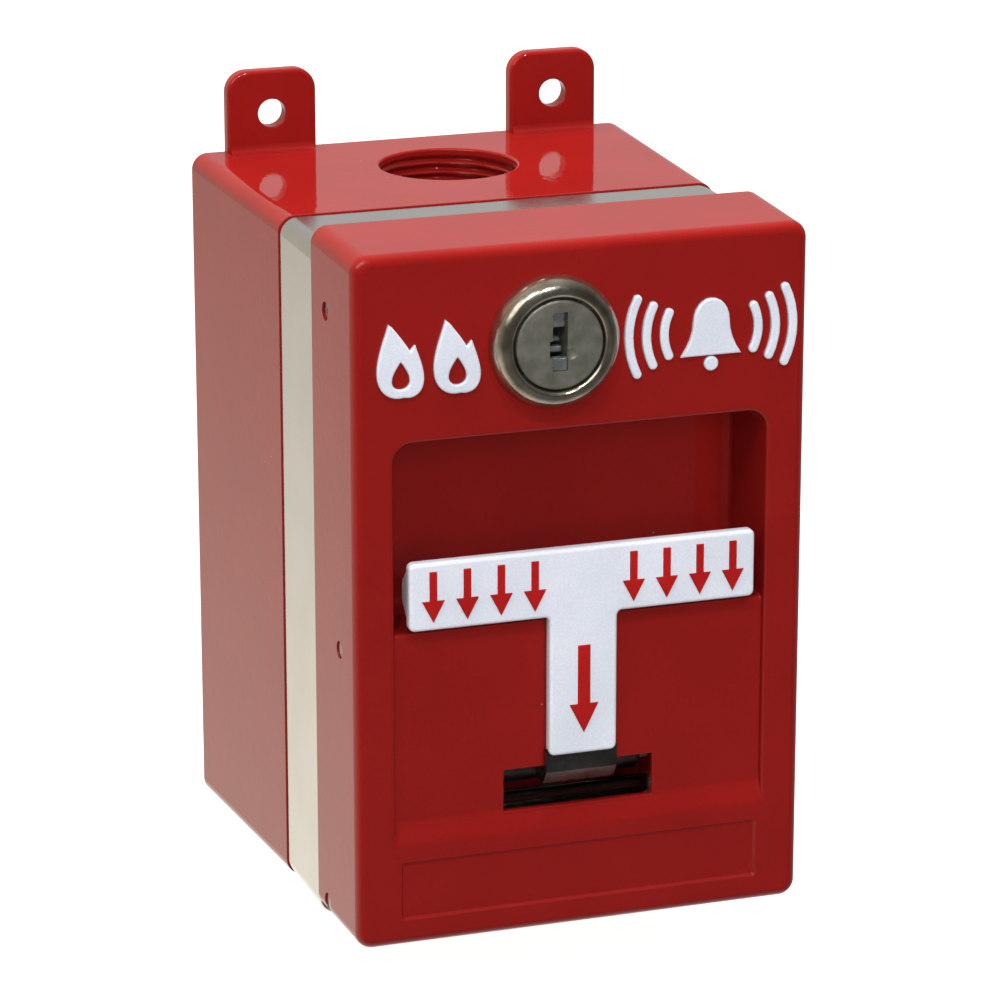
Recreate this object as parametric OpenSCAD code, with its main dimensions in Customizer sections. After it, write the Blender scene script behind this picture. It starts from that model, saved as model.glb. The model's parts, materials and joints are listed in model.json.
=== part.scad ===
// Surface-mounted manual fire call point: a back box with two mounting ears, a bare metal
// spacer frame, and a hinged, key-locked front cover that carries a T-shaped pull handle.
//
// Every sub-part is drawn in the station's own frame: X to the right seen from the front,
// Y is the depth behind the cover's front face, Z the height above the cover's lower edge.
// place() then moves it so that the origin is the centre of the back box's rear face.

/* [Cover] */
// Width of the front cover
cover_w = 82.5; // [82:0.5:84]
// Height of the front cover
cover_h = 124.5; // [124:0.5:126]
// Depth of the front cover
cover_d = 23; // [23:0.5:24]
// Radius of the cover's corners seen from the front
cover_corner_r = 3; // [3:0.5:5]
// Thickness of the cover's walls
cover_wall = 2.5; // [2.3:0.1:2.6]

/* [Spacer frame] */
// Depth of the spacer frame
frame_d = 20.2; // [20:0.1:21]
// Wall of the spacer frame
frame_wall = 3; // [2.8:0.1:3.2]
// How far the frame sits inside the back box's outline
frame_inset = 0.25; // [0.1:0.05:0.4]

/* [Back box] */
// Width of the back box
box_w = 81.5; // [81:0.5:82]
// Height of the back box
box_h = 123.3; // [123:0.1:123.6]
// Depth of the back box
box_d = 52; // [50:1:60]
// Wall of the back box
box_wall = 3.5; // [3:0.5:4]
// Radius of the box's long edges
box_corner_r = 3; // [3:0.5:5]
// How much the box widens on each side toward its back
side_draft = 1.5; // [1:0.5:2]
// How much the box deepens underneath toward its back
foot_draft = 2.3; // [1:0.1:3]
// How far the box reaches below the cover
box_drop = 2.2; // [1.8:0.1:2.4]

/* [Mounting] */
// Width of each mounting ear
ear_w = 17; // [16:0.5:19]
// Height of each ear above the box
ear_rise = 15.2; // [15:0.2:20]
// Thickness of each ear
ear_t = 3.2; // [3:0.1:4]
// Distance between the two ear holes
ear_spacing = 54.8; // [54:0.2:57]
// Radius of each ear hole
ear_hole_r = 2.6; // [2.2:0.05:3]
// Radius of the conduit entry's wall, at the crests of its thread
entry_r = 12.5; // [12:0.1:12.8]

/* [Handle] */
// Width of the handle's cross bar
bar_w = 63; // [60:1:64]
// Height of the handle's cross bar
bar_h = 12.2; // [11:0.2:12.6]
// Width of the handle's stem
stem_w = 12.4; // [11:0.2:13]

/* [Hidden] */
$fn = 64;

red = "#b0201c";
gap = 0.1;              // clearance round a fixed pin or screw
running = 0.06;         // radial clearance of a turning pin

// Depths of the layers behind the cover's front face
frame_y = cover_d + 1;
frame_back_y = frame_y + frame_d;
box_y = frame_back_y + 0.8;
rear_y = box_y + box_d;
box_bottom_z = -box_drop;
box_top_z = box_h - box_drop;
frame_w = box_w - 2 * frame_inset;
frame_bottom_z = box_bottom_z + frame_inset;
frame_top_z = box_top_z - frame_inset;

// Recess in the cover: a deep finger pocket over a shallow panel, ending in a sloped shelf
recess_w = 67.6;
recess_top_z = 91.2;
pocket_bottom_z = 57;
pocket_depth = 17.5;
panel_depth = 1.5;
panel_bottom_z = 23.4;
shelf_bottom_z = 18.6;
recess_corner_r = 3.4;
slot_w = 27.4;
slot_bottom_z = 22.2;
slot_top_z = 29.8;

// Corner bosses that join the frame to the box; they are set into the frame's walls by boss_bite
boss_r = 4.5;
boss_bite = 0.3;
boss_reach = frame_wall + boss_r - boss_bite;
boss_x = frame_w / 2 - boss_reach;
boss_low_z = frame_bottom_z + boss_reach;
boss_high_z = frame_top_z - boss_reach;

// Turning axes, as depth and height
hinge_y = 17.3;
hinge_z = 3.2;
hinge_pin_r = 1.5;
pivot_y = 8.5;
pivot_z = 28.5;
pivot_pin_r = 1.5;
barrel_r = 3;
toggle_y = 40;
toggle_z = 35.5;
toggle_rest_deg = 12;
lock_x = -5.5;
lock_z = 107.2;
cross_y = 9;
cross_z = 52.9;
cross_pin_r = 1.4;

// Chassis plate inside the frame
plate_y = 42.4;
plate_t = 1.6;
plate_w = 73.6;
plate_low_z = 20;
plate_high_z = 100;
ledge_w = 6;
plate_screw_x = 34;

// Handle
handle_face_y = -1;
stem_t = 2.2;
bar_bottom_z = 58;
bar_top_z = bar_bottom_z + bar_h;
stem_bottom_z = 32.6;
tail_len = 13.5;
tail_deg = -2;

// Places a sub-part in the part's own frame
module place() translate([0, -rear_y, box_drop - box_h / 2]) children();

// Rounded rectangle in X and Z, from z0 to z1 about x = 0
module outline(w, z0, z1, r) {
    translate([-w / 2 + r, z0]) square([w - 2 * r, z1 - z0]);
    translate([-w / 2, z0 + r]) square([w, z1 - z0 - 2 * r]);
    for (x = [-1, 1] * (w / 2 - r), z = [z0 + r, z1 - r]) translate([x, z]) circle(r);
}

// Extrudes an X-Z shape from depth y0 to depth y1
module slab(y0, y1) translate([0, y1, 0]) rotate([90, 0, 0]) linear_extrude(y1 - y0) children();

// Extrudes a depth-height shape from x0 to x1
module across(x0, x1) {
    translate([x0, 0, 0]) rotate([90, 0, 90]) linear_extrude(x1 - x0) children();
}

// Cylinder along depth, from y0 to y1, at x and z
module rod_y(x, z, r, y0, y1, fn = 64) {
    translate([x, y1, z]) rotate([90, 0, 0]) cylinder(r = r, h = y1 - y0, $fn = fn);
}

// Cylinder along X, from x0 to x1, at depth y and height z
module rod_x(y, z, r, x0, x1, fn = 64) {
    translate([x0, y, z]) rotate([0, 90, 0]) cylinder(r = r, h = x1 - x0, $fn = fn);
}

module corner_bosses(y0, y1, r) {
    for (x = [-boss_x, boss_x], z = [boss_low_z, boss_high_z]) rod_y(x, z, r, y0, y1);
}

// ---------- back box ----------

entry_y = box_y + 28.5;
entry_boss_r = 17;
ear_hole_rise = 7.1;
entry_len = 12.5;
thread_pitch = 1.8;
thread_depth = 0.8;

// Stack of V grooves that stands for the tapping in the conduit entry
module thread_grooves() {
    count = floor((entry_len - 2.4) / thread_pitch);
    for (i = [0 : count])
        translate([0, entry_y, box_top_z - entry_len + 1.2 + i * thread_pitch])
            rotate_extrude() polygon([
                [entry_r - 0.5, -0.6], [entry_r, -0.6], [entry_r + thread_depth, 0],
                [entry_r, 0.6], [entry_r - 0.5, 0.6]
            ]);
}

module ear(x) {
    difference() {
        translate([x, 0, 0])
            slab(rear_y - ear_t, rear_y) outline(ear_w, box_top_z - 10, box_top_z + ear_rise, 4);
        rod_y(x, box_top_z + ear_hole_rise, ear_hole_r, rear_y - ear_t - 1, rear_y + 1);
    }
}

// Outside of the box, trimmed by the draft of the casting at both sides and underneath
module drafted_box() {
    rear_w = box_w + 2 * side_draft;
    foot_z = box_bottom_z - foot_draft;
    spare = 5;
    difference() {
        slab(box_y, rear_y) outline(rear_w, foot_z, box_top_z, box_corner_r);
        for (side = [0, 1]) mirror([side, 0, 0]) translate([0, 0, foot_z - spare])
            linear_extrude(box_h + foot_draft + 2 * spare) polygon([
                [box_w / 2, box_y - 1], [box_w / 2, box_y], [rear_w / 2, rear_y],
                [rear_w / 2 + spare, rear_y], [rear_w / 2 + spare, box_y - 1]
            ]);
        across(-rear_w, rear_w) polygon([
            [box_y - 1, box_bottom_z], [box_y, box_bottom_z], [rear_y, foot_z],
            [rear_y, foot_z - spare], [box_y - 1, foot_z - spare]
        ]);
    }
}

module box_shell() {
    difference() {
        drafted_box();
        slab(box_y - 1, rear_y - box_wall)
            outline(box_w - 2 * box_wall, box_bottom_z + box_wall, box_top_z - box_wall, 2);
    }
}

module back_box() {
    color(red) difference() {
        union() {
            box_shell();
            for (x = [-1, 1] * ear_spacing / 2) ear(x);
            corner_bosses(box_y, rear_y - 1, boss_r);
            translate([0, entry_y, box_top_z - entry_len])
                cylinder(r = entry_boss_r, h = entry_len - 1);
        }
        corner_bosses(box_y - 1, box_y + 16, 1.6);
        translate([0, entry_y, box_top_z - entry_len - 1]) cylinder(r = entry_r, h = entry_len + 2);
        thread_grooves();
    }
}

module box_gasket() {
    edge = 1;
    strip = 2.3;
    color("#202020") slab(frame_back_y, box_y) difference() {
        outline(box_w - 2 * edge, box_bottom_z + edge, box_top_z - edge, box_corner_r - edge);
        outline(box_w - 2 * (edge + strip), box_bottom_z + edge + strip, box_top_z - edge - strip, 2);
    }
}

// ---------- spacer frame ----------

lug_x0 = 28;
lug_x1 = 34;
lug_r = 2.6;

// Lug that carries the cover's hinge pin
module hinge_lug(x0) {
    width = lug_x1 - lug_x0;
    difference() {
        union() {
            rod_x(hinge_y, hinge_z, lug_r, x0, x0 + width);
            translate([x0, hinge_y, hinge_z - lug_r]) cube([width, frame_y - hinge_y + 1, 2 * lug_r]);
        }
        rod_x(hinge_y, hinge_z, hinge_pin_r + running, x0 - 1, x0 + width + 1);
    }
}

module frame_ledges() {
    for (side = [-1, 1])
        translate([side > 0 ? frame_w / 2 - frame_wall - ledge_w : -frame_w / 2 + frame_wall - 1,
                   plate_y - 3, plate_low_z + 2])
            cube([ledge_w + 1, 3, plate_high_z - plate_low_z - 4]);
}

module spacer_frame() {
    inner_w = frame_w - 2 * frame_wall;
    color("#b9b9b2") difference() {
        union() {
            slab(frame_y, frame_back_y) difference() {
                outline(frame_w, frame_bottom_z, frame_top_z, box_corner_r);
                outline(inner_w, frame_bottom_z + frame_wall, frame_top_z - frame_wall, 2);
            }
            corner_bosses(frame_back_y - 4, frame_back_y, boss_r);
            frame_ledges();
            hinge_lug(lug_x0);
            hinge_lug(-lug_x1);
        }
        corner_bosses(frame_back_y - 5, frame_back_y + 1, 1.75);
        for (x = [-1, 1] * plate_screw_x, z = plate_screw_heights)
            rod_y(x, z, 1.3, plate_y - 4, plate_y + 1);
        for (x = keeper_screw_x)
            translate([x, keeper_screw_y, frame_top_z - frame_wall - 1]) cylinder(r = 1.3, h = 3);
    }
}

plate_screw_heights = [28, 92];

// Pan-head machine screw with a cross slot; it points along +Y from its head at y = 0
module pan_screw(r, len, head_r, head_h) {
    difference() {
        union() {
            rod_y(0, 0, r, 0, len);
            rod_y(0, 0, head_r, -head_h, 0);
        }
        for (turn = [0, 90])
            rotate([0, turn, 0]) translate([-head_r * 0.7, -head_h - 1, -head_r * 0.12])
                cube([head_r * 1.4, 1 + head_h * 0.55, head_r * 0.24]);
    }
}

module frame_screws() {
    color("silver") for (x = [-boss_x, boss_x], z = [boss_low_z, boss_high_z])
        translate([x, frame_back_y - 4, z]) pan_screw(1.5, 18, 3, 2.2);
}

module chassis_plate() {
    color("#c8c8c4") difference() {
        slab(plate_y, plate_y + plate_t) outline(plate_w, plate_low_z, plate_high_z, 3);
        rod_y(0, toggle_z, bushing_r + gap, plate_y - 1, plate_y + plate_t + 1);
        for (x = [-1, 1] * plate_screw_x, z = plate_screw_heights)
            rod_y(x, z, 1.4, plate_y - 1, plate_y + plate_t + 1);
        for (x = [-1, 1] * lead_x) rod_y(x, lead_z, 2.4, plate_y - 1, plate_y + plate_t + 1);
        for (x = [-1, 1] * block_screw_x)
            rod_y(x, lead_z, 1.3, plate_y - 1, plate_y + plate_t + 1);
        rod_y(-26, 50, 1.5, plate_y - 1, plate_y + plate_t + 1);
    }
}

// Screws from behind that hold the chassis plate on the frame's ledges
module plate_screws() {
    color("silver") for (x = [-1, 1] * plate_screw_x, z = plate_screw_heights)
        translate([x, plate_y + plate_t, z]) rotate([0, 0, 180]) pan_screw(1.2, 4, 2.2, 1.4);
}

keeper_screw_x = [lock_x - 9, lock_x + 9];
keeper_screw_y = 33;
keeper_t = 1.5;
lip_y = 25;
lip_bottom_z = 113.4;

// Angle plate under the frame's top wall; its lip is what the lock's cam turns in behind
module keeper() {
    top = frame_top_z - frame_wall;
    color("silver") difference() {
        union() {
            translate([lock_x - 13, lip_y, top - keeper_t]) cube([26, 13, keeper_t]);
            translate([lock_x - 6, lip_y, lip_bottom_z]) cube([12, keeper_t, top - lip_bottom_z]);
        }
        for (x = keeper_screw_x) translate([x, keeper_screw_y, top - 3]) cylinder(r = 1.4, h = 5);
    }
}

module keeper_screws() {
    color("silver") for (x = keeper_screw_x)
        translate([x, keeper_screw_y, frame_top_z - frame_wall - keeper_t])
            rotate([90, 0, 0]) pan_screw(1.2, 3, 2.2, 1.4);
}

// ---------- switch ----------

bushing_r = 5.9;
bushing_y = 36;
bat_len = 18.5;

module switch_body() {
    color("#1b1b1d") translate([-9, plate_y + plate_t, toggle_z - 14]) cube([18, 17, 28]);
}

module switch_bushing() {
    color("silver") difference() {
        rod_y(0, toggle_z, bushing_r, bushing_y, plate_y + plate_t);
        rod_y(0, toggle_z, 3.2, bushing_y - 1, toggle_y + 3.2);
    }
}

module switch_nut() {
    color("silver") difference() {
        rod_y(0, toggle_z, 8.2, plate_y - 2.4, plate_y, 6);
        rod_y(0, toggle_z, bushing_r + gap, plate_y - 3, plate_y + 1);
    }
}

lug_y = plate_y + plate_t + 17;

module switch_lugs() {
    color("goldenrod") for (z = [-9, 0, 9])
        translate([-2.4, lug_y, toggle_z + z - 0.4]) difference() {
            cube([4.8, 7, 0.8]);
            translate([2.4, 5, -1]) cylinder(r = 0.8, h = 3);
        }
}

module toggle_lever() {
    color("silver") translate([0, toggle_y, toggle_z]) rotate([toggle_rest_deg, 0, 0]) {
        sphere(r = 2.9);
        rotate([90, 0, 0]) cylinder(r1 = 1.2, r2 = 1.6, h = bat_len);
        translate([0, -bat_len, 0]) sphere(r = 1.6);
        rotate([0, 90, 0]) cylinder(r = 1, h = 5.9, center = true);
    }
}

// ---------- terminals and wiring ----------

block_w = 58;
block_d = 11;
block_low_z = 70;
block_high_z = 88;
block_screw_x = 26.4;
lead_x = 12;
lead_z = 79;
pole_pitch = 7.8;
poles = [-2.5 : 1 : 2.5];

module terminal_block() {
    front = plate_y - block_d;
    color("#2b2420") difference() {
        translate([-block_w / 2, front, block_low_z]) cube([block_w, block_d, block_high_z - block_low_z]);
        for (i = poles) translate([i * pole_pitch - 3.1, front - 1, block_low_z - 1])
            cube([6.2, 5, block_high_z - block_low_z + 2]);
        for (x = [-1, 1] * block_screw_x) rod_y(x, lead_z, 1.4, front - 1, plate_y + 1);
        for (i = poles, z = [-4.6, 4.6]) rod_y(i * pole_pitch, lead_z + z, 1.6, front + 3, front + 8);
        for (x = [-1, 1] * lead_x) rod_y(x, lead_z, 1.6, plate_y - 3, plate_y + 1);
    }
}

// Binding screws, each on its square clamp washer
module terminal_screws() {
    seat = plate_y - block_d + 4;
    color("goldenrod") for (i = poles, z = [-4.6, 4.6]) translate([i * pole_pitch, seat, lead_z + z]) {
        translate([-2.7, -0.7, -3]) cube([5.4, 0.7, 6]);
        translate([0, -0.7, 0]) pan_screw(1.5, 4, 2.3, 1.6);
    }
}

module block_screws() {
    color("silver") for (x = [-1, 1] * block_screw_x)
        translate([x, plate_y - block_d, lead_z]) pan_screw(1.2, block_d + 3, 2.3, 1.6);
}

// Insulated lead from a switch lug, up behind the chassis plate and into the terminal block
module lead(side, lug_height, depth) {
    r = 1.2;
    start = lug_y + 5;
    x = side * lead_x;
    translate([side * 3.7, start, lug_height]) rotate([0, side * 90, 0]) cylinder(r = r, h = lead_x - 3.7);
    translate([x, start, lug_height]) sphere(r);
    rod_y(x, lug_height, r, depth, start);
    translate([x, depth, lug_height]) sphere(r);
    translate([x, depth, lug_height]) cylinder(r = r, h = lead_z - lug_height);
    translate([x, depth, lead_z]) sphere(r);
    rod_y(x, lead_z, r, plate_y - 2.5, depth);
}

module red_lead() color("#c02018") lead(-1, toggle_z + 9, 52);

module black_lead() color("#181818") lead(1, toggle_z, 55);

module ground_screw() {
    color("#2f7d3b") translate([-26, plate_y, 50]) pan_screw(1.4, 5, 3.2, 1.8);
}

// ---------- cover ----------

pocket_wall = 2;
notch_side = 1;
ear_y1 = 12;
carrier_x0 = 15;
carrier_x1 = 19;
rod_r = 1.7;
rod_y0 = 6.2;
rod_z0 = 23;
set_screw_y = 15;
set_screw_z = 111.5;
barrel_hole_r = 8.1;

// Volume between the recess and the inside of the cover, which stays solid
module recess_backing() {
    w = recess_w + 2 * pocket_wall;
    slab(0, pocket_depth + pocket_wall)
        outline(w, pocket_bottom_z - pocket_wall, recess_top_z + pocket_wall, 3);
    slab(0, panel_depth + cover_wall) outline(w, shelf_bottom_z - 3, pocket_bottom_z + 3, 3);
}

module recess_cut() {
    slab(-2, pocket_depth) difference() {
        outline(recess_w, pocket_bottom_z - 8, recess_top_z, recess_corner_r);
        translate([-recess_w, pocket_bottom_z - 20]) square([2 * recess_w, 20]);
    }
    across(-recess_w / 2, recess_w / 2) polygon([
        [-2, pocket_bottom_z + 8], [panel_depth, pocket_bottom_z + 8], [panel_depth, panel_bottom_z],
        [0, shelf_bottom_z], [-2, shelf_bottom_z]
    ]);
    translate([-slot_w / 2, 0, slot_bottom_z]) cube([slot_w, 8, slot_top_z - slot_bottom_z]);
    slab(-1, 0.5) outline(65, 5.7, 15.5, 1);
}

// Ears behind the slot that hold the handle's pin and the ends of the glass rod
module pin_carriers() {
    front = panel_depth + cover_wall - 1;
    for (x0 = [carrier_x0, -carrier_x1]) difference() {
        translate([x0, front, 19.5]) cube([carrier_x1 - carrier_x0, ear_y1 - front, 13]);
        rod_x(pivot_y, pivot_z, pivot_pin_r + gap, x0 - 1, x0 + carrier_x1 - carrier_x0 + 1);
    }
}

// Open-backed seats for the ends of the glass rod
module rod_seats() {
    depth = 2.5;
    for (x0 = [carrier_x0 - 1, -carrier_x0 - depth]) {
        rod_x(rod_y0, rod_z0, rod_r + gap, x0, x0 + depth + 1);
        translate([x0, rod_y0, rod_z0 - rod_r - gap]) cube([depth + 1, 8, 2 * (rod_r + gap)]);
    }
}

module side_holes() {
    for (side = [-1, 1]) {
        x0 = side > 0 ? cover_w / 2 - cover_wall - 1 : -cover_w / 2 - 1;
        x1 = x0 + cover_wall + 2;
        rod_x(set_screw_y, set_screw_z, 1.6, x0, x1);
        rod_x(cross_y, cross_z, cross_pin_r + gap, x0, x1);
        rod_x(hinge_y, hinge_z, hinge_pin_r + gap, x0, x1);
    }
}

module front_cover() {
    inside_w = cover_w - 2 * cover_wall;
    color(red) difference() {
        union() {
            difference() {
                slab(0, cover_d) outline(cover_w, 0, cover_h, cover_corner_r);
                difference() {
                    slab(cover_wall, cover_d + 1)
                        outline(inside_w, cover_wall, cover_h - cover_wall, 2);
                    recess_backing();
                }
            }
            pin_carriers();
        }
        recess_cut();
        rod_seats();
        side_holes();
        rod_y(lock_x, lock_z, barrel_hole_r, -1, cover_wall + 1);
        rod_x(hinge_y, hinge_z, hinge_pin_r + 0.3, -inside_w / 2, inside_w / 2);
        for (x0 = [lug_x0, -lug_x1])
            translate([x0 - notch_side, 13.8, -1])
                cube([lug_x1 - lug_x0 + 2 * notch_side, cover_d, 4]);
    }
}

// Seal round the inside of the cover's rear rim
module cover_gasket() {
    strip = 1.6;
    side = cover_w / 2 - cover_wall - gap;
    low = hinge_z + hinge_pin_r + 1.5;
    high = cover_h - cover_wall - gap;
    color("#202020") slab(cover_d - 2.2, frame_y - 0.1) difference() {
        outline(2 * side, low, high, 2);
        outline(2 * (side - strip), low + strip, high - strip - 2.5, 1.2);
    }
}

// Tongue of flame w wide and h high, standing at the origin, its blunt tip leaning by a share of w
function tongue(w, h, lean) = concat(
    [[lean * w, h * 0.975]],
    [for (a = [30 : 10 : 330]) let (up = (1 + cos(a)) / 2)
        [w / 2 * 1.3 * sin(a) * pow(sin(a / 2), 1.3) + lean * w * up * up, h * up]]
);

// Flame sign: a tall tongue and a short one, hollowed by a small one
module flame_sign() {
    difference() {
        union() {
            polygon(tongue(7.8, symbol_h, -0.22));
            translate([1.7, 0]) polygon(tongue(5.6, symbol_h * 0.7, 0.22));
        }
        translate([0.35, symbol_line]) polygon(tongue(3.3, symbol_h * 0.36, 0));
    }
}

// Bell outline: a rounded crown that flares into its rim
function bell(w, h) = concat(
    [for (a = [0 : 15 : 180]) [w * 0.30 * cos(a), h * 0.66 + h * 0.30 * sin(a)]],
    [for (t = [0 : 0.25 : 1]) [-w * (0.30 + 0.20 * t * t), h * (0.66 - 0.46 * t)]],
    [for (t = [1 : -0.25 : 0]) [w * (0.30 + 0.20 * t * t), h * (0.66 - 0.46 * t)]]
);

symbol_low_z = 99.5;
symbol_h = 13.3;
symbol_line = 1.6;
symbol_rise = 0.8;

// Band of an arc about the origin, from angle a0 to a1
module arc_band(r, a0, a1) {
    polygon(concat(
        [for (i = [0 : 8]) let (a = a0 + (a1 - a0) * i / 8) (r + symbol_line / 2) * [cos(a), sin(a)]],
        [for (i = [8 : -1 : 0]) let (a = a0 + (a1 - a0) * i / 8) (r - symbol_line / 2) * [cos(a), sin(a)]]
    ));
    for (a = [a0, a1]) translate(r * [cos(a), sin(a)]) circle(symbol_line / 2, $fn = 24);
}

// Raised, white-painted signs cast on the cover: two flames left of the lock, a ringing bell right of it
module cover_symbols() {
    color("white") slab(-symbol_rise, 0) {
        for (x = [-33, -23]) translate([x, symbol_low_z]) flame_sign();
        translate([23, symbol_low_z]) {
            polygon(bell(11, symbol_h));
            translate([0, 1.2]) circle(1.3, $fn = 24);
            for (r = [8.6, 11.8, 15], side = [0, 180])
                translate([0, 7]) arc_band(r, side - 26, side + 26);
        }
    }
}

module hinge_pin() {
    color("silver") rod_x(hinge_y, hinge_z, hinge_pin_r, -cover_w / 2 + 0.5, cover_w / 2 - 0.5);
}

module cross_pin() {
    color("silver") rod_x(cross_y, cross_z, cross_pin_r, -cover_w / 2 + 0.6, cover_w / 2 - 0.6);
}

// Leaf spring rolled round the cross pin, pressing on the handle's barrel
module detent_spring() {
    leaf_t = 0.45;
    half_w = 4;
    eye_r = cross_pin_r + gap + leaf_t;
    foot_z = pivot_z + barrel_r + 1.1;
    color("silver") difference() {
        union() {
            rod_x(cross_y, cross_z, eye_r, -half_w, half_w);
            translate([-half_w, cross_y - leaf_t / 2, foot_z])
                cube([2 * half_w, leaf_t, cross_z - foot_z]);
            rod_x(cross_y, foot_z, 0.8, -half_w, half_w);
        }
        rod_x(cross_y, cross_z, cross_pin_r + gap, -half_w - 1, half_w + 1);
    }
}

module side_set_screws() {
    color("silver") for (side = [-1, 1]) difference() {
        rod_x(set_screw_y, set_screw_z, 1.5, side > 0 ? 35.5 : -40.6, side > 0 ? 40.6 : -35.5);
        rod_x(set_screw_y, set_screw_z, 0.9, side > 0 ? 39 : -41, side > 0 ? 41 : -39, 6);
    }
}

module glass_rod() {
    half = carrier_x0 + 2.3;
    color("#9fc7a8", 0.5) rod_x(rod_y0, rod_z0, rod_r, -half, half);
}

module handle_pin() {
    color("silver") rod_x(pivot_y, pivot_z, pivot_pin_r, -carrier_x1, carrier_x1);
}

// ---------- lock ----------

bezel_r = 11.5;
bezel_h = 4;
plug_r = 7.8;
barrel_back_y = 23.5;
keyway_w = 1.8;

// Barrel with its domed bezel; the plug turns inside it
module lock_body() {
    color("#b8b2a2") translate([lock_x, 0, lock_z]) difference() {
        rotate([90, 0, 0]) rotate_extrude() polygon(concat(
            [[0, -barrel_back_y], [8, -barrel_back_y], [8, 0], [bezel_r, 0], [bezel_r, 0.8]],
            [for (a = [10 : 10 : 90])
                [bezel_r - 2.6 + 2.6 * cos(a), 0.8 + (bezel_h - 0.8) * sin(a)]],
            [[0, bezel_h]]
        ));
        rod_y(0, 0, plug_r + running, -bezel_h - 1, -0.5);
        rod_y(0, 0, 5 + running, -0.6, barrel_back_y + 1);
    }
}

module lock_nut() {
    color("silver") difference() {
        rod_y(lock_x, lock_z, 12, cover_wall, cover_wall + 3, 6);
        rod_y(lock_x, lock_z, 8 + gap, cover_wall - 1, cover_wall + 4);
    }
}

stud_y = 29.6;
cam_y = 27.5;
cam_t = 2;
cam_len = 8.2;

// Turning plug: faced disc with a keyway, and a flatted stud at the back for the cam
module lock_plug() {
    color("#a9a89f") difference() {
        union() {
            rod_y(lock_x, lock_z, plug_r, -bezel_h + 0.3, -0.6);
            rod_y(lock_x, lock_z, 5, -0.7, cam_y);
            rod_y(lock_x, lock_z, 3, cam_y - 1, stud_y);
        }
        translate([lock_x - keyway_w / 2, -bezel_h - 1, lock_z - 4.6]) cube([keyway_w, 15, 9.2]);
        translate([lock_x - 1.5, -bezel_h - 1, lock_z - 2.4]) cube([3, 14, 5.2]);
        rod_y(lock_x, lock_z, 1.25, stud_y - 5, stud_y + 1);
    }
}

// Cam: lies to the right when open, and turns up behind the keeper's lip to lock
module lock_cam() {
    color("silver") difference() {
        union() {
            rod_y(lock_x, lock_z, 4, cam_y + 0.05, cam_y + cam_t);
            translate([lock_x, cam_y + 0.05, lock_z - 3.5]) cube([cam_len, cam_t - 0.05, 7]);
        }
        rod_y(lock_x, lock_z, 3 + gap, cam_y - 1, cam_y + cam_t + 1);
    }
}

module cam_screw() {
    color("silver") translate([lock_x, stud_y, lock_z]) rotate([0, 0, 180]) pan_screw(1.15, 4, 4.2, 1.6);
}

// ---------- handle ----------

// Cross bar: flat in front, ridged behind for the fingers
module handle_bar() {
    across(-bar_w / 2, bar_w / 2) polygon([
        [handle_face_y, bar_bottom_z], [handle_face_y, bar_top_z], [0.6, bar_top_z],
        [4, bar_top_z - 4.1], [4, bar_bottom_z + 4.1], [0.6, bar_bottom_z]
    ]);
}

module pull_handle() {
    half = stem_w / 2;
    back = handle_face_y + stem_t;
    color("#f2f2f6") difference() {
        union() {
            handle_bar();
            translate([-half, handle_face_y, stem_bottom_z])
                cube([stem_w, stem_t, bar_bottom_z - stem_bottom_z + 1]);
            across(-6.5, 6.5) polygon([
                [handle_face_y + 0.6, stem_bottom_z + 1], [back, stem_bottom_z + 1], [back, 29.2],
                [pivot_y, 29.2], [pivot_y, 26.8], [1.8, 26.8], [handle_face_y + 0.6, 29.4]
            ]);
            rod_x(pivot_y, pivot_z, barrel_r, -13, 13);
            translate([-3, pivot_y, pivot_z]) rotate([tail_deg, 0, 0])
                translate([0, 0, -1.2]) cube([6, tail_len, 2.4]);
        }
        rod_x(pivot_y, pivot_z, pivot_pin_r + running, -14, 14);
    }
}

arrow_rise = 0.4;
arrow_low_z = 59.6;
arrow_high_z = 68.6;
arrow_line = 1.3;
arrow_head_h = 3.8;
arrow_head_half = 2;

// Thin downward arrow with a solid head and its tip at the origin
module thin_arrow(h) {
    polygon([
        [0, 0], [arrow_head_half, arrow_head_h], [arrow_line / 2, arrow_head_h], [arrow_line / 2, h],
        [-arrow_line / 2, h], [-arrow_line / 2, arrow_head_h], [-arrow_head_half, arrow_head_h]
    ]);
}

// Red arrows on the handle: four each side of the bar, and a broad one down the stem
module handle_arrows() {
    color(red) slab(handle_face_y - arrow_rise, handle_face_y) {
        for (side = [-1, 1], i = [0 : 3])
            translate([side * (9 + 6.1 * i), arrow_low_z]) thin_arrow(arrow_high_z - arrow_low_z);
        polygon([[-1.1, 52.5], [1.1, 52.5], [1.1, 41.8], [2.6, 41.8], [0, 36.6], [-2.6, 41.8], [-1.1, 41.8]]);
    }
}

place() back_box();
place() box_gasket();
place() spacer_frame();
place() frame_screws();
place() chassis_plate();
place() plate_screws();
place() keeper();
place() keeper_screws();
place() switch_body();
place() switch_bushing();
place() switch_nut();
place() switch_lugs();
place() terminal_block();
place() terminal_screws();
place() block_screws();
place() red_lead();
place() black_lead();
place() ground_screw();
place() toggle_lever();
place() front_cover();
place() cover_gasket();
place() cover_symbols();
place() hinge_pin();
place() cross_pin();
place() detent_spring();
place() side_set_screws();
place() glass_rod();
place() handle_pin();
place() lock_body();
place() lock_nut();
place() lock_plug();
place() lock_cam();
place() cam_screw();
place() pull_handle();
place() handle_arrows();
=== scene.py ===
"""Looks of the manual call point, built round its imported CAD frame."""

import json
import math

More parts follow.
